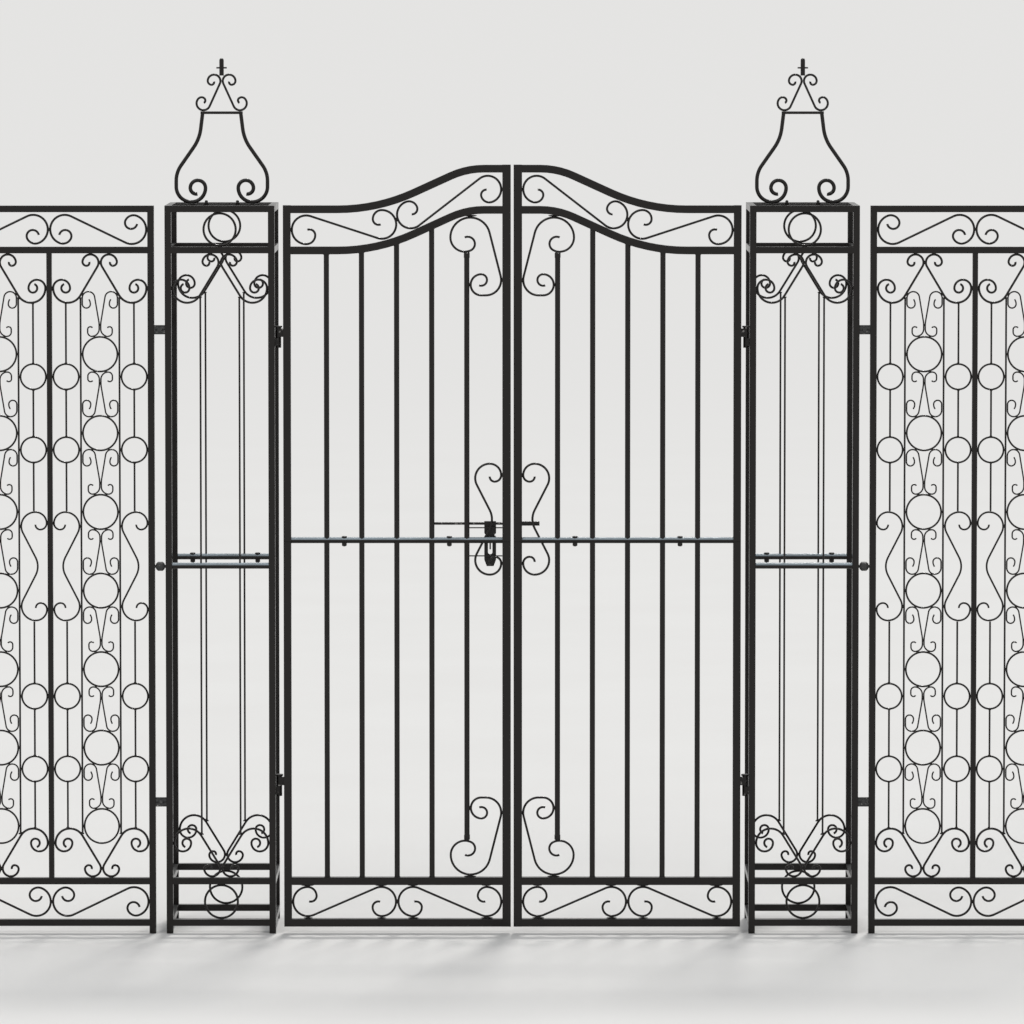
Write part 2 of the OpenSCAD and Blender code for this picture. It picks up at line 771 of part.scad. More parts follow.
// The paired scrolls of one bay; side is -1 for the bay next to the pillar, 1 for the outer one
module bay_scrolls(side) {
    x = panel_mid + side * bay_mid;
    rods([
        for (k = [0 : ring_count - 1])
            let (
                wide_up = k % 2 == 0,
                z = first_ring_z - k * ring_pitch + (wide_up ? narrow_to_ring : wide_to_ring)
            )
            each moved(wide_up ? paired_scrolls : inverted(paired_scrolls), [x, z])
    ]);
}

module panel_rings() {
    each_bay() {
        for (k = [0 : ring_count - 1]) {
            ring(0, first_ring_z - k * ring_pitch, ring_r, fine_d);
        }
        for (s = [-1, 1]) {
            for (z = side_rings) {
                ring(s * column_x, z, side_r, fine_d);
            }
        }
    }
}

module panel_bars() {
    end = lean_end(panel_bar_x, bay_half);
    rod_end = lean_drop + lean_big + rod_d / 2 + weld_gap;
    at_ring = side_r + weld_gap;
    at_brace = brace_half(brace_panel_w) + fine_d / 2 + weld_gap;
    rods = [
        [side_rings[0] + at_ring, field_top - rod_end],
        [side_rings[1] + at_ring, side_rings[0] - at_ring],
        [field_mid + at_brace, side_rings[1] - at_ring],
        [side_rings[2] + at_ring, field_mid - at_brace],
        [side_rings[3] + at_ring, side_rings[2] - at_ring],
        [field_base + rod_end, side_rings[3] - at_ring]
    ];
    each_bay() {
        for (s = [-1, 1]) {
            bar(s * panel_bar_x, field_base + end, field_top - end, fine_d);
            for (r = rods) {
                bar(s * column_x, r[0], r[1], fine_d);
            }
        }
    }
}

module corner_scrolls() {
    rods([
        for (s = [-1, 1])
            each foot_and_top(
                leaning_pair(bay_half, panel_mid + s * bay_mid), field_base, field_top
            )
    ]);
}

// Brace-shaped scrolls, whose curls point at the stile beside them, and the bands' scrolls
module long_scrolls() {
    stile_side = fine_d / 2 + weld_gap;
    inner_brace = brace_scroll(panel_mid_tube / 2 + stile_side, 0, fine_d, brace_panel_w);
    outer_brace = moved(
        reflected(brace_scroll(stile_side, 0, fine_d, brace_panel_w)),
        [panel_w / 2 - post_tube, 0]
    );
    rods(moved(both_sides(concat(inner_brace, outer_brace), panel_mid), [0, field_mid]));
    rods(both_sides(concat(
        moved(inverted(band_scroll), [0, (base_rail_z + lower_rail_z) / 2]),
        moved(band_scroll, [0, second_z + (band_drop - post_tube) / 2])
    ), panel_mid));
}

// The long scroll of one half of the panel's band, on a middle line at z = 0
band_scroll = scroll(rod_d,
    [band_curl + rod_d / 2 + weld_gap / 2, 0], band_curl,
    [panel_w / 2 - post_tube - off - band_curl, 0], band_curl,
    -1, false, snail_curl, snail_curl);

module panel_couplings() {
    gap = panel_gap - 2 * weld_gap;
    x = pillar_out + weld_gap;
    // Coupling at the height of the pillar's middle rail
    translate([x, 0, field_mid])
        rotate([0, 90, 0]) {
            cylinder(d = 8, h = gap);
            translate([0, 0, 2.5])
                rotate_extrude()
                    polygon([
                        [0, 0],
                        [coupling_d / 2 - 5, 0],
                        [coupling_d / 2, 5],
                        [coupling_d / 2, gap - 10],
                        [coupling_d / 2 - 5, gap - 5],
                        [0, gap - 5]
                    ]);
        }
    // Clamps above and below it
    for (z = [clamp_z, 2 * field_mid - clamp_z]) {
        translate([x, -4, z - 12]) cube([gap, 8, 24]);
        translate([x, -7, z - 8]) cube([gap, 14, 6]);
        translate([x, -7, z + 2]) cube([gap, 14, 6]);
    }
}

module bolt_guides() {
    for (seat = [[leaf_in + guide_t / 2 + 1, meeting_tube / 2], [bar_x(0), bar_d / 2]]) {
        translate([-seat[0] - guide_t / 2, 0, bolt_z - 8]) {
            difference() {
                translate([0, seat[1] + weld_gap, 0])
                    cube([guide_t, bolt_back + 8 - seat[1] - weld_gap, 16]);
                translate([-1, bolt_back, 8])
                    rotate([0, 90, 0])
                        cylinder(d = bolt_d + 2 * bolt_fit, h = guide_t + 2);
            }
        }
    }
    // Straps from the short bar to the stile
    strap_l = bar_x(0) + bar_d / 2 - leaf_in - meeting_tube - weld_gap;
    for (z = [upper_strap_z, lower_strap_z]) {
        translate([-bar_x(0) - bar_d / 2, bar_d / 2 + weld_gap, z - strap_t / 2])
            cube([strap_l, 3.8, strap_t]);
    }
}

module bolt_keeper() {
    bore_d = bolt_d + 2 * keeper_fit;
    difference() {
        union() {
            translate([leaf_in, bolt_back, bolt_z])
                rotate([0, 90, 0])
                    cylinder(d = bore_d + 2 * keeper_wall, h = keeper_l);
            translate([leaf_in, meeting_tube / 2 + weld_gap, bolt_z - bore_d / 2])
                cube([meeting_tube, bolt_back - meeting_tube / 2, bore_d]);
        }
        translate([leaf_in - 1, bolt_back, bolt_z])
            rotate([0, 90, 0])
                cylinder(d = bore_d, h = keeper_l + 2);
    }
}

module bolt_rod() {
    translate([-leaf_in - 1 - bolt_l, bolt_back, bolt_z])
        rotate([0, 90, 0])
            cylinder(d = bolt_d, h = bolt_l);
}

// Outline of the handle below the bolt's axis: a block with a waist and a flared foot
module handle_block_outline() {
    w = handle_w / 2;
    polygon([
        [-w, 6], [w, 6],
        [w, -25], [w - 4, -29], [w - 4, -31.5], [w, -34], [w, -38],
        [-w, -38], [-w, -34], [-w + 4, -31.5], [-w + 4, -29], [-w, -25]
    ]);
}

// Outline of the slotted plate that hangs from the block
module handle_plate_outline() {
    w = handle_w / 2;
    difference() {
        polygon([
            [-w, -36], [w, -36],
            [w, -handle_drop + 17], [w - 6.5, -handle_drop],
            [-w + 6.5, -handle_drop], [-w, -handle_drop + 17]
        ]);
        translate([-slot_w / 2, -handle_drop + 31 + slot_w / 2])
            square([slot_w, handle_drop - 69 - slot_w / 2]);
        translate([0, -handle_drop + 31 + slot_w / 2]) circle(d = slot_w);
    }
}

module bolt_handle() {
    translate([-leaf_in - handle_x, bolt_back, bolt_z]) {
        difference() {
            translate([0, 6, 0])
                rotate([90, 0, 0]) linear_extrude(11.6) handle_block_outline();
            translate([-handle_w, 0, 0])
                rotate([0, 90, 0]) cylinder(d = bolt_d, h = 2 * handle_w);
        }
        translate([0, handle_t / 2, 0])
            rotate([90, 0, 0]) linear_extrude(handle_t) handle_plate_outline();
        // Drop pin in the slot
        translate([0, 0, -68]) cylinder(d = handle_t - 1, h = 31);
    }
}

placed() steel() left_side() pillar_side();  // left_pillar_front
placed() steel() left_side() at_back() pillar_side();  // left_pillar_back
placed() steel() left_side() pillar_side_rails();  // left_pillar_side_rails
placed() steel() left_side() pillar_scrolls();  // left_pillar_front_scrolls
placed() steel() left_side() rear_scrolls();  // left_pillar_back_scrolls
placed() steel() left_side() finial();  // left_finial
placed() steel() left_side() hinge_pins();  // left_hinge_pins
placed() steel() right_side() pillar_side();  // right_pillar_front
placed() steel() right_side() at_back() pillar_side();  // right_pillar_back
placed() steel() right_side() pillar_side_rails();  // right_pillar_side_rails
placed() steel() right_side() pillar_scrolls();  // right_pillar_front_scrolls
placed() steel() right_side() rear_scrolls();  // right_pillar_back_scrolls
placed() steel() right_side() finial();  // right_finial
placed() steel() right_side() hinge_pins();  // right_hinge_pins
placed() steel() left_side() panel_grille();  // left_panel_grille
placed() steel() left_side() panel_bars();  // left_panel_bars
placed() steel() left_side() panel_rings();  // left_panel_rings
placed() steel() left_side() bay_scrolls(-1);  // left_panel_inner_bay_scrolls
placed() steel() left_side() bay_scrolls(1);  // left_panel_outer_bay_scrolls
placed() steel() left_side() corner_scrolls();  // left_panel_corner_scrolls
placed() steel() left_side() long_scrolls();  // left_panel_long_scrolls
placed() steel() left_side() panel_couplings();  // left_panel_couplings
placed() steel() right_side() panel_grille();  // right_panel_grille
placed() steel() right_side() panel_bars();  // right_panel_bars
placed() steel() right_side() panel_rings();  // right_panel_rings
placed() steel() right_side() bay_scrolls(-1);  // right_panel_inner_bay_scrolls
placed() steel() right_side() bay_scrolls(1);  // right_panel_outer_bay_scrolls
placed() steel() right_side() corner_scrolls();  // right_panel_corner_scrolls
placed() steel() right_side() long_scrolls();  // right_panel_long_scrolls
placed() steel() right_side() panel_couplings();  // right_panel_couplings
placed() steel() left_side() leaf_grille();  // left_leaf_grille
placed() steel() left_side() base_scrolls();  // left_leaf_base_scrolls
placed() steel() left_side() arch_scrolls();  // left_leaf_arch_scrolls
placed() steel() left_side() stile_scrolls();  // left_leaf_stile_scrolls
placed() steel() left_side() hinge_eyes();  // left_hinge_eyes
placed() steel() bolt_guides();
placed() steel() right_side() leaf_grille();  // right_leaf_grille
placed() steel() right_side() base_scrolls();  // right_leaf_base_scrolls
placed() steel() right_side() arch_scrolls();  // right_leaf_arch_scrolls
placed() steel() right_side() stile_scrolls();  // right_leaf_stile_scrolls
placed() steel() right_side() hinge_eyes();  // right_hinge_eyes
placed() steel() bolt_keeper();
placed() steel() bolt_rod();
placed() steel() bolt_handle();
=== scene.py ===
import bmesh
import bpy
import math
from mathutils import Matrix, Vector


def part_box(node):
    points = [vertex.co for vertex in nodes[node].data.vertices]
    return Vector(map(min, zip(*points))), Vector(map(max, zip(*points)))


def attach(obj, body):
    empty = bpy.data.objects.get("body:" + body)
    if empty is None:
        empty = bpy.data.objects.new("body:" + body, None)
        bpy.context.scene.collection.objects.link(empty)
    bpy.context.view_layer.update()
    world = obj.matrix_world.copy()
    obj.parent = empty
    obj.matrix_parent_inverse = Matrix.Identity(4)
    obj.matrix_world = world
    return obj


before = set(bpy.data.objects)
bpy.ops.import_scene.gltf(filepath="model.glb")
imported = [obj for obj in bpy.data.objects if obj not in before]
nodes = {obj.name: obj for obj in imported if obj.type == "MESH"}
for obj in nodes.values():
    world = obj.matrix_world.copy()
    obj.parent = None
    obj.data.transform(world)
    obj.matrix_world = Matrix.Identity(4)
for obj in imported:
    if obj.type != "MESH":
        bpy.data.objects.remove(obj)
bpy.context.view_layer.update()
bpy.ops.object.select_all(action="DESELECT")

# Ground, light and camera
# A plain pale studio floor under soft lamps, which fades into the backdrop far from the gate.
# The camera stands far off on the gate's middle, a little above it, with a long lens.
scene = bpy.context.scene
scene.view_settings.view_transform = "Standard"
left_leaf_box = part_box("left_leaf_grille")
right_leaf_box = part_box("right_leaf_grille")
gate_mid = (left_leaf_box[1].x + right_leaf_box[0].x) / 2
floor_size = 300
floor_drop = 0.0008
fade_start = 5.0
fade_end = 26.0
backdrop_grey = (0.78, 0.775, 0.765, 1)

bpy.ops.mesh.primitive_plane_add(size=floor_size, location=(gate_mid, 0, -floor_drop))
floor = bpy.context.object
floor.name = "studio_floor"
floor_paint = bpy.data.materials.new("studio floor")
floor_paint.use_nodes = True
tree = floor_paint.node_tree
shader = tree.nodes["Principled BSDF"]
shader.inputs["Roughness"].default_value = 0.9
shader.inputs["Specular IOR Level"].default_value = 0.0
place = tree.nodes.new("ShaderNodeTexCoord")
cloud = tree.nodes.new("ShaderNodeTexNoise")
cloud.inputs["Scale"].default_value = 1.4
tone = tree.nodes.new("ShaderNodeValToRGB")
tone.color_ramp.elements[0].color = (0.715, 0.70, 0.685, 1)
tone.color_ramp.elements[1].color = (0.755, 0.745, 0.73, 1)
away = tree.nodes.new("ShaderNodeVectorMath")
away.operation = "LENGTH"
fade = tree.nodes.new("ShaderNodeMapRange")
fade.interpolation_type = "SMOOTHSTEP"
fade.inputs["From Min"].default_value = fade_start
fade.inputs["From Max"].default_value = fade_end
haze = tree.nodes.new("ShaderNodeEmission")
haze.inputs["Color"].default_value = backdrop_grey
rays = tree.nodes.new("ShaderNodeLightPath")
seen = tree.nodes.new("ShaderNodeMath")
seen.operation = "MULTIPLY"
blend = tree.nodes.new("ShaderNodeMixShader")
tree.links.new(place.outputs["Object"], cloud.inputs["Vector"])
tree.links.new(cloud.outputs["Fac"], tone.inputs["Fac"])
tree.links.new(tone.outputs["Color"], shader.inputs["Base Color"])
tree.links.new(place.outputs["Object"], away.inputs[0])
tree.links.new(away.outputs["Value"], fade.inputs["Value"])
tree.links.new(fade.outputs["Result"], seen.inputs[0])
tree.links.new(rays.outputs["Is Camera Ray"], seen.inputs[1])
tree.links.new(seen.outputs["Value"], blend.inputs["Fac"])
tree.links.new(shader.outputs["BSDF"], blend.inputs[1])
tree.links.new(haze.outputs["Emission"], blend.inputs[2])
tree.links.new(blend.outputs["Shader"], tree.nodes["Material Output"].inputs["Surface"])
floor.data.materials.append(floor_paint)

sky_level = 0.55
world = bpy.data.worlds.new("studio")
scene.world = world
world.use_nodes = True
tree = world.node_tree
tree.nodes.clear()
rays = tree.nodes.new("ShaderNodeLightPath")
seen = tree.nodes.new("ShaderNodeMath")
seen.operation = "MAXIMUM"
mirrored = tree.nodes.new("ShaderNodeMath")
mirrored.operation = "MAXIMUM"
backdrop = tree.nodes.new("ShaderNodeBackground")
backdrop.inputs["Color"].default_value = backdrop_grey
sky = tree.nodes.new("ShaderNodeBackground")
sky.inputs["Color"].default_value = (0.93, 0.965, 1.0, 1)
sky.inputs["Strength"].default_value = sky_level
mix = tree.nodes.new("ShaderNodeMixShader")
out = tree.nodes.new("ShaderNodeOutputWorld")
tree.links.new(rays.outputs["Is Camera Ray"], seen.inputs[0])
tree.links.new(rays.outputs["Is Transmission Ray"], seen.inputs[1])
tree.links.new(seen.outputs["Value"], mirrored.inputs[0])
tree.links.new(rays.outputs["Is Glossy Ray"], mirrored.inputs[1])
tree.links.new(mirrored.outputs["Value"], mix.inputs["Fac"])
tree.links.new(sky.outputs["Background"], mix.inputs[1])
tree.links.new(backdrop.outputs["Background"], mix.inputs[2])
tree.links.new(mix.outputs["Shader"], out.inputs["Surface"])


def lamp(name, place, aim, spread, strength, colour):
    """A soft lamp far off, which lights the floor and the gate evenly."""
    light = bpy.data.lights.new(name, "SUN")
    light.angle = math.radians(spread)
    light.energy = strength
    light.color = colour
    holder = bpy.data.objects.new(name, light)
    scene.collection.objects.link(holder)
    holder.location = place
    holder.rotation_euler = (Vector(aim) - Vector(place)).to_track_quat("-Z", "Y").to_euler()


gate_heart = (0.6, 0, 1.0)
lamp("key", (-3.2, -5.5, 7.0), gate_heart, 24, 0.6, (1.0, 0.985, 0.96))
lamp("rim", (1.5, 4.6, 8.5), gate_heart, 10, 1.7, (1.0, 0.99, 0.965))

camera_pitch = 3.37
camera_away = 16.2
camera_height = 2.44
camera = bpy.data.cameras.new("view")
camera.sensor_width = 36
camera.lens = 218.16
camera.shift_y = -0.14
camera.clip_end = 400
eye = bpy.data.objects.new("view", camera)
scene.collection.objects.link(eye)
eye.location = (gate_mid - 0.0005, -camera_away, camera_height)
eye.rotation_euler = (math.radians(90 - camera_pitch), 0, 0)
scene.camera = eye

# Pillar frames and their paint
# Square steel tube, welded into cages and brushed with black semi-gloss metal paint.
# The film shows faint brush lines, orange peel, and grey dust where it faces the sky, pale enough to
# be a painted top highlight as well.


def group(name, inputs, outputs):
    """A shader node group with named number inputs and named outputs."""
    tree = bpy.data.node_groups.new(name, "ShaderNodeTree")
    for label, value in inputs:
        socket = tree.interface.new_socket(label, in_out="INPUT", socket_type="NodeSocketFloat")
        socket.default_value = value
    for label in outputs:
        tree.interface.new_socket(label, in_out="OUTPUT", socket_type="NodeSocketFloat")
    return tree, tree.nodes.new("NodeGroupInput"), tree.nodes.new("NodeGroupOutput")


def noise(tree, scale, detail, roughness, stretch=None):
    """A noise on the piece's own coordinates, drawn out along an axis where stretch is given."""
    place = tree.nodes.new("ShaderNodeTexCoord")
    source = place.outputs["Object"]
    if stretch:
        drawn = tree.nodes.new("ShaderNodeMapping")
        drawn.inputs["Scale"].default_value = stretch
        tree.links.new(source, drawn.inputs["Vector"])
        source = drawn.outputs["Vector"]
    texture = tree.nodes.new("ShaderNodeTexNoise")
    texture.inputs["Scale"].default_value = scale
    texture.inputs["Detail"].default_value = detail
    texture.inputs["Roughness"].default_value = roughness
    tree.links.new(source, texture.inputs["Vector"])
    return texture


def sum_of(tree, operation, *values, clamp=False):
    """A number worked out from sockets and numbers."""
    node = tree.nodes.new("ShaderNodeMath")
    node.operation = operation
    node.use_clamp = clamp
    for slot, value in enumerate(values):
        if isinstance(value, (int, float)):
            node.inputs[slot].default_value = value
        else:
            tree.links.new(value, node.inputs[slot])
    return node.outputs["Value"]


def paint_film():
    """Height and gloss of brushed metal paint: streaks along the stock and orange peel."""
    tree, inlet, outlet = group(
        "paint film",
        [("Grain size", 900.0), ("Streak", 0.5), ("Peel", 0.5), ("Lumps", 0.0)],
        ["Height", "Gloss change"],
    )
    peel = noise(tree, 900, 3, 0.55)
    tree.links.new(inlet.outputs["Grain size"], peel.inputs["Scale"])
    streak = noise(tree, 1, 4, 0.6, (420, 420, 14))
    lump = noise(tree, 210, 2, 0.5)
    cloud = noise(tree, 9, 5, 0.6)
    fine = sum_of(tree, "MULTIPLY", peel.outputs["Fac"], inlet.outputs["Peel"])
    long = sum_of(tree, "MULTIPLY", streak.outputs["Fac"], inlet.outputs["Streak"])
    coarse = sum_of(tree, "MULTIPLY", lump.outputs["Fac"], inlet.outputs["Lumps"])
    both = sum_of(tree, "ADD", fine, long)
    tree.links.new(sum_of(tree, "ADD", both, coarse), outlet.inputs["Height"])
    tree.links.new(cloud.outputs["Fac"], outlet.inputs["Gloss change"])
    return tree


def dust_and_top_highlight_mask():
    """Mask of the dust that settles on what faces up, thicker in patches; its pale grey also paints a
    highlight on top faces.
    """
    tree, inlet, outlet = group("sky dust", [("Amount", 0.5), ("Patch size", 30.0)], ["Dust"])
    shape = tree.nodes.new("ShaderNodeNewGeometry")
    split = tree.nodes.new("ShaderNodeSeparateXYZ")
    tree.links.new(shape.outputs["Normal"], split.inputs["Vector"])
    patch = noise(tree, 30, 5, 0.65)
    tree.links.new(inlet.outputs["Patch size"], patch.inputs["Scale"])
    # Faces turned up get more of the pale grey: real dust and a painted top highlight in one.
    up = sum_of(tree, "POWER", sum_of(tree, "MAXIMUM", split.outputs["Z"], 0.0), 2.5)
    rough = sum_of(tree, "MULTIPLY_ADD", patch.outputs["Fac"], 1.4, -0.2)
    settled = sum_of(tree, "MULTIPLY", up, rough, clamp=True)
    tree.links.new(sum_of(tree, "MULTIPLY", settled, inlet.outputs["Amount"], clamp=True),
                outlet.inputs["Dust"])
    return tree


def rubbing():
    """Mask of bare spots where parts rub: blotches that break up at their edges."""
    tree, inlet, outlet = group("rubbed spots", [("Amount", 0.3), ("Size", 60.0)], ["Bare"])
    blotch = noise(tree, 60, 6, 0.7)
    tree.links.new(inlet.outputs["Size"], blotch.inputs["Scale"])
    level = sum_of(tree, "MULTIPLY_ADD", inlet.outputs["Amount"], -0.5, 0.72)
    edge = sum_of(tree, "SUBTRACT", blotch.outputs["Fac"], level)
    tree.links.new(sum_of(tree, "MULTIPLY", edge, 14.0, clamp=True), outlet.inputs["Bare"])
    return tree


film = paint_film()
dust_and_highlight = dust_and_top_highlight_mask()
rubbed = rubbing()
black = (0.0058, 0.0045, 0.0039)
# Grey of the up-facing dust, light enough that it also paints a highlight on top faces.
dust_and_highlight_grey = (0.16, 0.165, 0.165)
bare_steel = (0.33, 0.32, 0.31)
fade_gain = 1.7
film_depth = 0.00012


def placed(tree, kind, **values):
    """A node group in a material, with its own values."""
    node = tree.nodes.new("ShaderNodeGroup")
    node.node_tree = kind
    for label, value in values.items():
        node.inputs[label.replace("_", " ")].default_value = value
    return node


def mixed(tree, mask, a, b):
    """One colour laid over another by a mask; each is a colour or a socket."""
    node = tree.nodes.new("ShaderNodeMix")
    node.data_type = "RGBA"
    tree.links.new(mask, node.inputs["Factor"])
    for label, value in (("A", a), ("B", b)):
        socket = [s for s in node.inputs if s.name == label and s.type == "RGBA"][0]
        if isinstance(value, tuple):
            socket.default_value = (*value, 1)
        else:
            tree.links.new(value, socket)
    return [s for s in node.outputs if s.type == "RGBA"][0]


def painted(name, gloss, base=black, grain=900.0, streak=0.5, peel=0.5, lumps=0.0, relief=0.12,
            dust_and_highlight_amount=0.5, bare=0.0, bare_size=60.0):
    """Black paint of one finish, with its film relief, gloss patches, dust that doubles as a painted
    top highlight, and rubbed spots.
    """
    paint = bpy.data.materials.new(name)
    paint.use_nodes = True
    tree = paint.node_tree
    shader = tree.nodes["Principled BSDF"]
    shader.inputs["Specular IOR Level"].default_value = 0.3
    surface = placed(tree, film, Grain_size=grain, Streak=streak, Peel=peel, Lumps=lumps)
    cover = placed(tree, dust_and_highlight, Amount=dust_and_highlight_amount)
    tone = noise(tree, 5, 4, 0.6)
    worn = tuple(fade_gain * part for part in base)
    colour = mixed(tree, tone.outputs["Fac"], base, worn)
    # Up-facing faces are laid over with the grey: dust and a painted top highlight together.
    colour = mixed(tree, cover.outputs["Dust"], colour, dust_and_highlight_grey)
    rough = tree.nodes.new("ShaderNodeMapRange")
    rough.inputs["From Min"].default_value = 0.3
    rough.inputs["From Max"].default_value = 0.7
    rough.inputs["To Min"].default_value = gloss[0]
    rough.inputs["To Max"].default_value = gloss[1]
    tree.links.new(surface.outputs["Gloss change"], rough.inputs["Value"])
    dull = sum_of(tree, "MULTIPLY_ADD", cover.outputs["Dust"], 0.35, rough.outputs["Result"])
    if bare:
        spots = placed(tree, rubbed, Amount=bare, Size=bare_size)
        colour = mixed(tree, spots.outputs["Bare"], colour, bare_steel)
        tree.links.new(spots.outputs["Bare"], shader.inputs["Metallic"])
        dull = sum_of(tree, "MULTIPLY_ADD", spots.outputs["Bare"], -0.1, dull)
    tree.links.new(colour, shader.inputs["Base Color"])
    tree.links.new(dull, shader.inputs["Roughness"])
    wave = tree.nodes.new("ShaderNodeBump")
    wave.inputs["Strength"].default_value = relief
    wave.inputs["Distance"].default_value = film_depth
    tree.links.new(surface.outputs["Height"], wave.inputs["Height"])
    tree.links.new(wave.outputs["Normal"], shader.inputs["Normal"])
    return paint


def finish(material, *names):
    """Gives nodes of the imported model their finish."""
    for name in names:
        mesh = nodes[name].data
        mesh.materials.clear()
        mesh.materials.append(material)


def painted_top_reflection(material, z, half):
    """Paints a reflection into the colour: a pale blue-grey upper half on a round rail at a height,
    standing in for the sky it mirrors.
    """
    tree = material.node_tree
    shader = tree.nodes["Principled BSDF"]
    place = tree.nodes.new("ShaderNodeTexCoord")
    where = tree.nodes.new("ShaderNodeSeparateXYZ")
    tree.links.new(place.outputs["Object"], where.inputs["Vector"])
    shape = tree.nodes.new("ShaderNodeNewGeometry")
    facing = tree.nodes.new("ShaderNodeSeparateXYZ")
    tree.links.new(shape.outputs["Normal"], facing.inputs["Vector"])
    off = sum_of(tree, "ABSOLUTE", sum_of(tree, "SUBTRACT", where.outputs["Z"], z))
    zone = sum_of(tree, "LESS_THAN", off, half)
    up = sum_of(tree, "MULTIPLY", sum_of(tree, "SUBTRACT", facing.outputs["Z"], 0.12), 4.0, clamp=True)
    cloud = noise(tree, 14, 4, 0.6, (1, 6, 6))
    patchy = sum_of(tree, "MULTIPLY_ADD", cloud.outputs["Fac"], 0.9, 0.25)
    mask = sum_of(tree, "MULTIPLY", sum_of(tree, "MULTIPLY", zone, up), patchy, clamp=True)
    colour = shader.inputs["Base Color"].links[0].from_socket
    tree.links.new(mixed(tree, mask, colour, painted_reflection_blue), shader.inputs["Base Color"])


sides = ("left", "right")
rail_z = 1.036
pillar_rail_z = 0.969
rail_d = 0.016
# Painted reflection: the round middle rails get a pale blue-grey upper half painted into their colour.
painted_reflection_half = rail_d / 2 + 0.0002
painted_reflection_blue = (0.40, 0.47, 0.52)
tube_paint = painted("frame tube paint", (0.17, 0.30), streak=0.7, peel=0.35, dust_and_highlight_amount=0.55)
# The pillar's round middle rail gets the painted reflection on its upper half.
painted_top_reflection(tube_paint, pillar_rail_z, painted_reflection_half)
for side in sides:
    finish(tube_paint, f"{side}_pillar_front", f"{side}_pillar_back", f"{side}_pillar_side_rails")

# Pillar scrolls
# Round 6 mm steel rod, bent cold round a former into curls and welded into the cages.
# The paint lies thick and glossy on it, with the faint flats that the former leaves.
rod_paint = painted("scroll rod paint", (0.1, 0.2), grain=1300.0, streak=0.1, peel=0.6,
                    lumps=0.5, relief=0.16, dust_and_highlight_amount=0.4)
for side in sides:
    finish(rod_paint, f"{side}_pillar_front_scrolls", f"{side}_pillar_back_scrolls")

# Finials
# Two bent legs, a crossbar, two small scrolls and a cast knob, welded up as one piece.
# They take the most weather, so their paint is duller and dustier than the rest, with a stronger
# painted top highlight.
finial_paint = painted("finial paint", (0.14, 0.28), grain=1000.0, streak=0.2, peel=0.6,
                       lumps=0.6, relief=0.2, dust_and_highlight_amount=0.7)
for side in sides:
    finish(finial_paint, f"{side}_finial")

# Studs that hold the finials
# Each finial's feet are held to the pillar's cross rail by two studs with domed nuts.
# They were painted over with the rest, so only their edges catch the light.
stud_paint = painted("stud paint", (0.2, 0.36), grain=700.0, peel=0.7, lumps=0.4, relief=0.2,
                     dust_and_highlight_amount=0.5, bare=0.12, bare_size=140.0)


def faces_where(piece, test):
    """Selects, in edit mode, the faces for which the test is true."""
    mesh = bmesh.from_edit_mesh(piece.data)
    for face in mesh.faces:
        face.select_set(bool(test(face)))
    mesh.select_flush_mode()
    bmesh.update_edit_mesh(piece.data)


def turned(name, corners, radius, height, crown, round_off):
    """A head, nut or cap that stands on z = 0: a prism crowned by insets, with its edges eased."""
    bpy.ops.object.select_all(action="DESELECT")
    bpy.ops.mesh.primitive_cylinder_add(vertices=corners, radius=radius, depth=height,
                                        location=(0, 0, height / 2))
    piece = bpy.context.object
    piece.name = name
    bpy.ops.object.transform_apply(location=True, rotation=True, scale=True)
    bpy.ops.object.mode_set(mode="EDIT")
    bpy.ops.mesh.select_mode(type="FACE")
    faces_where(piece, lambda face: face.normal.z > 0.9)
    for share in (0.9, 0.55, 0.25):
        bpy.ops.mesh.inset(thickness=radius * 0.24, depth=crown * share)
    bpy.ops.object.mode_set(mode="OBJECT")
    ease = piece.modifiers.new("eased edges", "BEVEL")
    ease.width = round_off
    ease.segments = 2
    ease.limit_method = "ANGLE"
    ease.angle_limit = math.radians(40)
    bpy.ops.object.modifier_apply(modifier=ease.name)
    bpy.ops.object.shade_smooth_by_angle(angle=math.radians(35))
    return piece


def copied(model, name, places, body, material):
    """Copies of a model at each place, gathered into one piece that rides on a body."""
    copies = []
    for place in places:
        mesh = model.data.copy()
        mesh.transform(place)
        copy = bpy.data.objects.new(name, mesh)
        scene.collection.objects.link(copy)
        copies.append(copy)
    bpy.ops.object.select_all(action="DESELECT")
    for copy in copies:
        copy.select_set(True)
    bpy.context.view_layer.objects.active = copies[0]
    if len(copies) > 1:
        bpy.ops.object.join()
    piece = bpy.context.object
    piece.name = name
    piece.data.materials.clear()
    piece.data.materials.append(material)
    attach(piece, body)


def drop(model):
    """Removes a model once its copies are made."""
    bpy.data.objects.remove(model, do_unlink=True)


pillar_low, pillar_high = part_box("right_pillar_front")
pillar_in = pillar_low.x - gate_mid
pillar_out = pillar_high.x - gate_mid
pillar_mid = (pillar_in + pillar_out) / 2
pillar_top = pillar_high.z
post_tube = 0.017
back_low, back_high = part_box("right_pillar_back")
pillar_back_y = (back_low.y + back_high.y) / 2
stud_x = 0.041

stud = turned("finial stud", 6, 0.0062, 0.0042, 0.0, 0.0005)
tip = turned("stud tip", 16, 0.0042, 0.0074, 0.0016, 0.0004)
tip.select_set(True)
stud.select_set(True)
bpy.context.view_layer.objects.active = stud
bpy.ops.object.join()
for side, way in (("left", -1), ("right", 1)):
    places = [Matrix.Translation((gate_mid + way * pillar_mid + s * stud_x, pillar_back_y / 2,
                                  pillar_top)) for s in (-1, 1)]
    copied(stud, f"{side}_finial_studs", places, "fixed", stud_paint)
drop(stud)

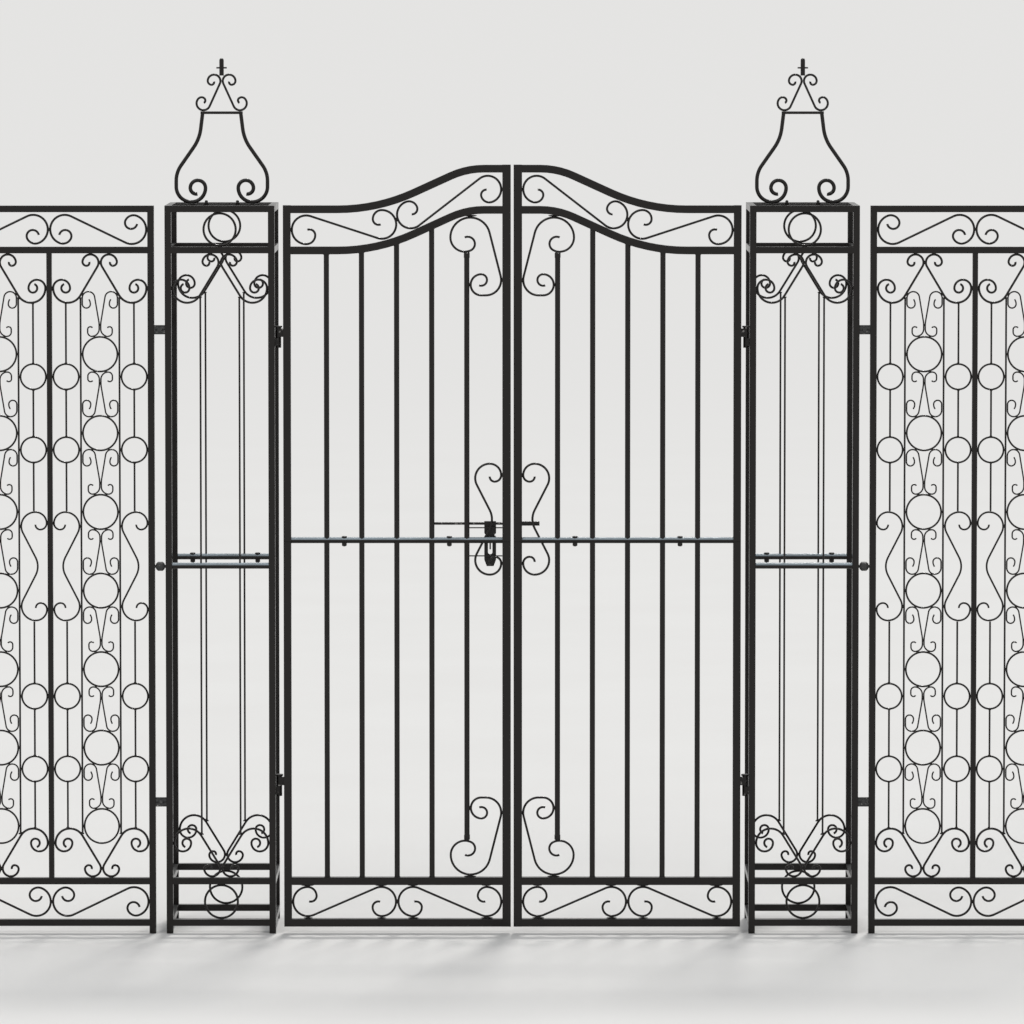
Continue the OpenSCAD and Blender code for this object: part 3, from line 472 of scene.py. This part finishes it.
# Bolts through the cross rails
# A cap screw with a domed nut goes through the middle rail midway between two bars, twice in
# each leaf, and twice through the rear rail of each pillar.
bar_pitch = 0.0917
leaf_low, leaf_high = right_leaf_box
leaf_in = leaf_low.x - gate_mid
leaf_out = leaf_high.x - gate_mid
first_bar_in = 0.115
first_bar_x = leaf_in + first_bar_in
bolt_x = (first_bar_x + 0.5 * bar_pitch, first_bar_x + 3.5 * bar_pitch)
pillar_bolt_x = 0.0865

cap = turned("rail bolt", 20, 0.0073, 0.0046, 0.0006, 0.0009)
cap.data.transform(Matrix.Translation((0, 0, rail_d / 2 - 0.0026)))
nut = turned("rail nut", 6, 0.0073, 0.0076, 0.0018, 0.0006)
nut.data.transform(Matrix.Translation((0, 0, -rail_d / 2 + 0.002)) @ Matrix.Rotation(math.pi, 4, "X"))
nut.select_set(True)
cap.select_set(True)
bpy.context.view_layer.objects.active = cap
bpy.ops.object.join()
for side, way in (("left", -1), ("right", 1)):
    places = [Matrix.Translation((gate_mid + way * x, 0, rail_z)) for x in bolt_x]
    copied(cap, f"{side}_leaf_rail_bolts", places, f"{side}_leaf", stud_paint)
    places = [Matrix.Translation((gate_mid + way * pillar_mid + s * pillar_bolt_x, pillar_back_y,
                                  pillar_rail_z)) for s in (-1, 1)]
    copied(cap, f"{side}_pillar_rail_bolts", places, "fixed", stud_paint)
drop(cap)

# Hinges
# Turned steel knuckles on 8 mm pins, welded to the posts and leaves. The paint is rubbed
# through where the leaves swing.
hinge_paint = painted("hinge paint", (0.24, 0.42), grain=700.0, streak=0.2, peel=0.6, relief=0.2,
                      dust_and_highlight_amount=0.5, bare=0.26, bare_size=95.0)
for side in sides:
    finish(hinge_paint, f"{side}_hinge_pins", f"{side}_hinge_eyes")

# Fence panels
# A frame of square tube with fine round bars, rings of 5 mm rod and scrolls of 4 to 6 mm rod.
# The fine stock is dipped, so its paint is smoother and glossier than the brushed frame's.
fine_paint = painted("fine rod paint", (0.1, 0.2), grain=1600.0, streak=0.05, peel=0.5,
                     lumps=0.35, relief=0.12, dust_and_highlight_amount=0.35)
for side in sides:
    finish(tube_paint, f"{side}_panel_grille")
    finish(fine_paint, f"{side}_panel_bars", f"{side}_panel_rings",
           f"{side}_panel_inner_bay_scrolls", f"{side}_panel_outer_bay_scrolls")
    finish(rod_paint, f"{side}_panel_corner_scrolls", f"{side}_panel_long_scrolls")

# Couplings between panel and pillar
# A turned spacer and two strap clamps bridge the gap between panel and pillar. They are
# galvanised and painted thinly, so grey metal shows, and each clamp has a hexagon bolt.
clamp_paint = painted("clamp paint", (0.34, 0.5), base=(0.03, 0.03, 0.03), grain=600.0, streak=0.2,
                      relief=0.2, dust_and_highlight_amount=0.6, bare=0.27, bare_size=120.0)
coupling_low, coupling_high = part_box("right_panel_couplings")
coupling_x = (coupling_low.x + coupling_high.x) / 2 - gate_mid
clamp_half = 0.012
clamp_z = (coupling_low.z + clamp_half, coupling_high.z - clamp_half)
clamp_face_y = -0.007
bolt_head = turned("clamp bolt", 6, 0.0062, 0.0032, 0.0004, 0.0005)
for side, way in (("left", -1), ("right", 1)):
    finish(clamp_paint, f"{side}_panel_couplings")
    places = [Matrix.Translation((gate_mid + way * coupling_x, clamp_face_y, z))
              @ Matrix.Rotation(math.radians(90), 4, "X") for z in clamp_z]
    copied(bolt_head, f"{side}_clamp_bolts", places, "fixed", clamp_paint)
drop(bolt_head)

# Leaves
# Square tube frames with round 14 mm bars and two arched rails bent from the same tube.
# A fine dark line is drawn into the paint across the stiles at lock height.
# A near-black, fully rough line drawn across the leaf at this height.
dark_line_z = 1.0325
dark_line_half = 0.0005
dark_line_black = (0.001, 0.001, 0.001)


def dark_line_across(material, z, half):
    """Adds a fine dark line across the stiles at a height to a paint."""
    tree = material.node_tree
    shader = tree.nodes["Principled BSDF"]
    place = tree.nodes.new("ShaderNodeTexCoord")
    split = tree.nodes.new("ShaderNodeSeparateXYZ")
    tree.links.new(place.outputs["Object"], split.inputs["Vector"])
    off = sum_of(tree, "ABSOLUTE", sum_of(tree, "SUBTRACT", split.outputs["Z"], z))
    line = sum_of(tree, "LESS_THAN", off, half)
    colour = shader.inputs["Base Color"].links[0].from_socket
    tree.links.new(mixed(tree, line, colour, dark_line_black), shader.inputs["Base Color"])
    rough = shader.inputs["Roughness"].links[0].from_socket
    tree.links.new(sum_of(tree, "MAXIMUM", rough, line), shader.inputs["Roughness"])


leaf_paint = painted("leaf paint", (0.15, 0.28), streak=0.6, peel=0.4, dust_and_highlight_amount=0.55)
dark_line_across(leaf_paint, dark_line_z, dark_line_half)
# The leaf's round middle rail gets the painted reflection on its upper half.
painted_top_reflection(leaf_paint, rail_z, painted_reflection_half)
for side in sides:
    finish(leaf_paint, f"{side}_leaf_grille")
    finish(rod_paint, f"{side}_leaf_base_scrolls", f"{side}_leaf_arch_scrolls",
           f"{side}_leaf_stile_scrolls")

# Collars of the short bars
# The short bar beside the meeting stile stands between two scrolls. A pressed collar at each
# end spreads it on the curl that carries it.
collar_h = 0.013
bar_d = 0.014
lower_band = 0.130
lower_rail_top = leaf_low.z + lower_band
bar_curl = 0.0519
curl_rise = 0.0585
curl_top = 0.72 * bar_curl
rod_r = 0.003
bar_foot = lower_rail_top + curl_rise + curl_top + rod_r
crown_rise = 0.106
crown_flat = 0.070
crown_bend = 0.209
dip_bend = 0.480
slope = math.radians(24.5)
leaf_tube = 0.020
meeting_tube = 0.022
band_drop = 0.1075
leaf_w = leaf_out - leaf_in
cap_rise = 0.0005
leaf_side_top = leaf_high.z - cap_rise - crown_rise


def arch_h(u):
    """Height of the arched rail above its hinge end, at a distance from the meeting edge."""
    bends = crown_bend + dip_bend
    run = (crown_rise - bends * (1 - math.cos(slope))) / math.tan(slope)
    dip_end = crown_flat + bends * math.sin(slope) + run
    if u < crown_flat:
        return crown_rise
    if u < crown_flat + crown_bend * math.sin(slope):
        return crown_rise - crown_bend + math.sqrt(crown_bend**2 - (u - crown_flat) ** 2)
    if u < dip_end - dip_bend * math.sin(slope):
        return (crown_rise - crown_bend * (1 - math.cos(slope))
                - (u - crown_flat - crown_bend * math.sin(slope)) * math.tan(slope))
    if u < dip_end:
        return dip_bend - math.sqrt(dip_bend**2 - (dip_end - u) ** 2)
    return 0.0


bar_curl_x = 0.1058
rail_gap = 0.0005
upper_rail_foot = leaf_side_top - band_drop - leaf_tube + arch_h(bar_curl_x) - rail_gap
bar_head = upper_rail_foot - (bar_foot - lower_rail_top)
collar = turned("bar collar", 24, bar_d / 2 + 0.0009, collar_h, 0.0004, 0.0009)
for side, way in (("left", -1), ("right", 1)):
    x = gate_mid + way * first_bar_x
    places = [Matrix.Translation((x, 0, bar_foot)), Matrix.Translation((x, 0, bar_head - collar_h))]
    copied(collar, f"{side}_bar_collars", places, f"{side}_leaf", leaf_paint)
drop(collar)

# Sliding bolt
# A round steel bolt slides in two welded guides and shoots into a keeper tube. Its hanging
# handle is cast, and both are rubbed to bare metal where hands and guides touch them.
bolt_paint = painted("bolt paint", (0.2, 0.36), grain=800.0, streak=0.3, relief=0.15,
                     dust_and_highlight_amount=0.5, bare=0.3, bare_size=70.0)
cast_paint = painted("cast handle paint", (0.3, 0.48), grain=420.0, streak=0.0, peel=1.0,
                     lumps=0.8, relief=0.35, dust_and_highlight_amount=0.5, bare=0.2, bare_size=80.0)
finish(bolt_paint, "bolt_rod")
finish(cast_paint, "bolt_handle")
finish(rod_paint, "bolt_guides", "bolt_keeper")

# Welds
# Each curl, ring and bar end is tacked to its neighbour with a short bead of weld, painted over
# with the rest. A bead is a small uneven lump that fills the notch between the two.
weld_paint = painted("painted weld", (0.16, 0.32), grain=1500.0, streak=0.0, peel=0.8, lumps=1.0,
                     relief=0.4, dust_and_highlight_amount=0.4)
gap = 0.0002
off = rod_r + gap
beads = {"fixed": [], "leaf": []}


def bead(body, x, z, reach, angle, y=0.0, size=1.0, long=1.0):
    """Notes a bead where something of that reach about (x, z) touches its neighbour."""
    a = math.radians(angle)
    beads[body].append((x + reach * math.cos(a), y, z + reach * math.sin(a), a, size, long))


def turned_over(body, first, middle):
    """Repeats the beads noted since the first one, turned over about a level line."""
    for x, y, z, a, size, long in beads[body][first:]:
        beads[body].append((x, y, 2 * middle - z, -a, size, long))


# Leaf bands, in gate coordinates of the right leaf
base_curl = 0.0385
base_z = (leaf_low.z + lower_rail_top) / 2
stile_face = leaf_in + meeting_tube
base_room = (leaf_w - leaf_tube - meeting_tube) / 4
base_gap = (lower_rail_top - leaf_low.z) / 2 - leaf_tube - base_curl - rod_r
for k, way in ((0, 1), (2, -1), (2, 1), (4, -1)):
    x = stile_face + k * base_room + way * (off + base_curl)
    bead("leaf", x, base_z, base_curl + rod_r, 180 if way > 0 else 0)
    for angle in (-90, 90):
        bead("leaf", x, base_z, base_curl + rod_r + base_gap / 2, angle, size=1.15, long=2.6)


def band_z(u):
    """Height of the arched band's middle line."""
    return leaf_side_top - leaf_tube / 2 - band_drop / 2 + arch_h(u)


arch_curl = 0.0374
crown_curl = arch_curl - 0.0024
joint_curl = (band_drop * math.cos(slope) - leaf_tube) / 2 - off - gap
joint_u = 0.298
inner_u = joint_u - joint_curl - 0.001
outer_u = joint_u + arch_curl + 0.0012
hinge_u = leaf_w - leaf_tube - off - arch_curl
crown_u = meeting_tube + off + crown_curl
bead("leaf", leaf_in + hinge_u, band_z(hinge_u), arch_curl + rod_r, 0)
bead("leaf", leaf_in + crown_u, band_z(crown_u), crown_curl + rod_r, 180)
joint_tilt = math.degrees(math.atan2(band_z(outer_u) - band_z(inner_u), outer_u - inner_u))
bead("leaf", leaf_in + inner_u, band_z(inner_u), joint_curl + rod_r, joint_tilt)

# Scrolls beside the short bar, at the foot and turned over at the top
stile_curl = 0.040
side_curl = 0.69 * stile_curl
upper_x = stile_face + off + stile_curl
upper_z = lower_rail_top + 0.170
first = len(beads["leaf"])
bead("leaf", upper_x, upper_z, stile_curl + rod_r, 180)
bead("leaf", first_bar_x - bar_d / 2, upper_z + stile_curl - side_curl, 0, 0)
bead("leaf", leaf_in + bar_curl_x, lower_rail_top + 0.0018, 0, 90, size=1.2, long=2.8)
bead("leaf", first_bar_x, bar_foot, 0, 90, size=1.4)
turned_over("leaf", first, (lower_rail_top + upper_rail_foot) / 2)
brace_w = 0.068
brace_mid_z = 1.091
brace_touch = 1.702
for way in (-1, 1):
    bead("leaf", stile_face, brace_mid_z + way * brace_touch * brace_w, 0, 180)

# Bars of the leaf, where they meet the rails
for i in range(1, 5):
    x = first_bar_x + i * bar_pitch
    for s in (-1, 1):
        bead("leaf", x + s * bar_d / 2, lower_rail_top, 0, 45 if s > 0 else 135, size=0.8)
        top = leaf_side_top - band_drop - leaf_tube + arch_h(x + s * bar_d / 2 - leaf_in)
        bead("leaf", x + s * bar_d / 2, top, 0, -45 if s > 0 else -135, size=0.8)

# Leaning scrolls in the corners of pillars and panels
lean_small = 0.021
lean_big = 0.038
lean_drop = 0.0915
fine_r = 0.0025
post_rail_r = post_tube / 2
lower_z = lower_rail_top - leaf_tube / 2
foot_z = leaf_low.z + leaf_tube / 2
second_z = pillar_top - band_drop
field_top = second_z - post_tube
field_base = lower_z + post_rail_r
field_mid = (field_top + field_base) / 2
lean_x = lean_small + rod_r + gap / 2
lean_z = lean_small + off
notch_in = 0.0004
notch_h = 0.0020
notch_tilt = 28


def lean_slope(half):
    """Angle of the leaning rods in a field of that half width."""
    x, z = half - off - lean_big - lean_x, lean_drop - lean_z
    return math.atan2(z, x) + math.asin((lean_big - lean_small) / math.hypot(x, z))


def lean_h(x, half):
    """Height of the leaning rod's middle above the rail, at a distance from the middle."""
    s = lean_slope(half)
    return lean_z + lean_small * math.cos(s) + (x - lean_x + lean_small * math.sin(s)) * math.tan(s)


def lean_top(x, half):
    """Height of a leaning scroll's upper side above the rail: straight, then its big curl."""
    s = lean_slope(half)
    curl_x, reach = half - off - lean_big, lean_big + rod_r
    if x > curl_x - reach * math.sin(s):
        return lean_drop + math.sqrt(reach ** 2 - (curl_x - x) ** 2)
    return lean_h(x, half) + rod_r / math.cos(s)


def leaning_beads(middle, half, bar_x, y):
    """Beads of two leaning scrolls, at the foot of a field and turned over at its top."""
    first = len(beads["fixed"])
    bead("fixed", middle, field_base + lean_z, 0, 0, y)
    for s in (-1, 1):
        bead("fixed", middle + s * lean_x, field_base + lean_z, lean_small + rod_r, -90, y)
        bead("fixed", middle + s * (half - off - lean_big), field_base + lean_drop,
             lean_big + rod_r, 0 if s > 0 else 180, y)
        notch = field_base + lean_top(bar_x, half) + notch_h
        bead("fixed", middle + s * (bar_x - notch_in), notch, 0, 90 + s * notch_tilt, y, 1.25, 0.8)
    turned_over("fixed", first, field_mid)


def level_ring(middle, z, reach, y):
    """Beads above and below a ring that fills a band."""
    for angle in (-90, 90):
        bead("fixed", middle, z, reach, angle, y)


pillar_half = (pillar_out - pillar_in) / 2 - post_tube
pillar_bar_x = 0.051
for y in (0.0, pillar_back_y):
    leaning_beads(pillar_mid, pillar_half, pillar_bar_x, y)
    level_ring(pillar_mid, second_z + (band_drop - post_tube) / 2, (band_drop - post_tube) / 2, y)
    level_ring(pillar_mid, (foot_z + lower_z) / 2, (lower_z - foot_z - post_tube) / 2, y)

# Rings, paired scrolls and side columns of the panel's bays
panel_low, panel_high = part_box("right_panel_grille")
panel_mid = (panel_low.x + panel_high.x) / 2 - gate_mid
panel_w = panel_high.x - panel_low.x
mid_tube = 0.014
bay_half = (panel_w / 2 - post_tube - mid_tube / 2) / 2
bay_mid = mid_tube / 2 + bay_half
panel_bar_x = 0.0506
column_w = bay_half - panel_bar_x - fine_r
column_x = bay_half - column_w / 2
side_r = column_w / 2
ring_r = panel_bar_x - fine_r
thin_r = 0.002
pair_wide = 0.0162
pair_narrow = 0.019
pair_l = 0.0649
pair_start = 0.060
pair_drop = 0.0105
lean = math.radians(9.5)
pair_x = thin_r + gap / 2
wide_x = (pair_x + pair_start * (1 - math.cos(lean)) + pair_l * math.sin(lean)
          + pair_wide * math.cos(lean))
wide_z = pair_start * math.sin(lean) + pair_l * math.cos(lean) - pair_wide * math.sin(lean)
narrow_x = pair_x + pair_narrow
narrow_up = math.sqrt((pair_narrow + thin_r + ring_r) ** 2 - narrow_x**2)
wide_up = math.sqrt((pair_wide + thin_r + ring_r) ** 2 - wide_x**2)
ring_pitch = pair_drop + narrow_up + wide_z + wide_up
bay_slope = lean_slope(bay_half)
wide_reach = pair_wide + thin_r + rod_r + gap
first_pair_z = field_top - lean_h(wide_x, bay_half) - wide_reach / math.cos(bay_slope) - wide_z
ring_count = 7
side_up = 0.306
side_down = 0.342
side_pitch = 0.1916
brace_panel_w = column_w - 2 * fine_r - 2 * gap
brace_back = 1.584
brace_end = 2.143
for bay in (-1, 1):
    middle = panel_mid + bay * bay_mid
    leaning_beads(middle, bay_half, panel_bar_x, 0.0)
    for s in (-1, 1):
        tilt = 90 - s * math.degrees(bay_slope)
        bead("fixed", middle + s * wide_x, first_pair_z + wide_z, pair_wide + thin_r, tilt, 0, 0.8)
    for k in range(ring_count):
        z = first_pair_z - pair_drop - narrow_up - k * ring_pitch
        up, x = (narrow_up, narrow_x) if k % 2 == 0 else (wide_up, wide_x)
        pair_z = z + (pair_drop + narrow_up if k % 2 == 0 else wide_z + wide_up)
        bead("fixed", middle, pair_z, 0, 0, 0, 0.8)
        for s in (-1, 1):
            bead("fixed", middle, z, ring_r, 0 if s > 0 else 180, 0, 0.8)
            angle = math.degrees(math.atan2(up, s * x))
            bead("fixed", middle, z, ring_r, angle, 0, 0.7)
            if k < ring_count - 1:
                bead("fixed", middle, z, ring_r, -angle, 0, 0.7)
    for s in (-1, 1):
        column = middle + s * column_x
        for z in (side_up + side_pitch, side_up, -side_down, -side_down - side_pitch):
            for angle in (0, 90, 180, 270):
                bead("fixed", column, field_mid + z, side_r, angle, 0, 0.75)
        stile = middle + s * bay_half
        for way in (-1, 1):
            bead("fixed", stile, field_mid + way * brace_touch * brace_panel_w, 0, 0, 0, 0.8)
            back_z = field_mid + way * brace_back * brace_panel_w
            bead("fixed", stile - s * column_w, back_z, 0, 0, 0, 0.8)
            bead("fixed", column, field_mid + way * brace_end * brace_panel_w, 0, 90, 0, 0.8)
            z = field_base + lean_drop + lean_big + rod_r
            bead("fixed", column, z if way < 0 else 2 * field_mid - z, 0, 90, 0, 0.8)
for z in ((foot_z + lower_z) / 2, second_z + (band_drop - post_tube) / 2):
    bead("fixed", panel_mid, z, 0, 0)
    for s in (-1, 1):
        bead("fixed", panel_mid + s * (panel_w / 2 - post_tube), z, 0, 0)

bpy.ops.object.select_all(action="DESELECT")
bpy.ops.mesh.primitive_uv_sphere_add(segments=8, ring_count=6, radius=1)
lump = bpy.context.object
lump.name = "weld bead"
bpy.ops.object.mode_set(mode="EDIT")
bpy.ops.mesh.select_all(action="SELECT")
bpy.ops.transform.resize(value=(0.0019, 0.0031, 0.0046))
bpy.ops.mesh.select_all(action="DESELECT")
faces_where(lump, lambda face: face.calc_center_median().z > 0.0012)
bpy.ops.transform.translate(value=(0.0, 0.0003, 0.0006))
bpy.ops.object.mode_set(mode="OBJECT")
bpy.ops.object.shade_smooth()


def bead_places(body, way):
    """Where the beads of a body lie on one side of the gate."""
    places = []
    for n, (x, y, z, a, size, long) in enumerate(beads[body]):
        uneven = size * (1 + 0.16 * math.sin(2.4 * n))
        angle = a if way > 0 else math.pi - a
        places.append(Matrix.Translation((gate_mid + way * x, y, z))
                      @ Matrix.Rotation(-angle, 4, "Y")
                      @ Matrix.Diagonal((uneven, uneven, uneven * long, 1)))
    return places


for side, way in (("left", -1), ("right", 1)):
    copied(lump, f"{side}_leaf_welds", bead_places("leaf", way), f"{side}_leaf", weld_paint)
    copied(lump, f"{side}_pillar_and_panel_welds", bead_places("fixed", way), "fixed", weld_paint)
drop(lump)
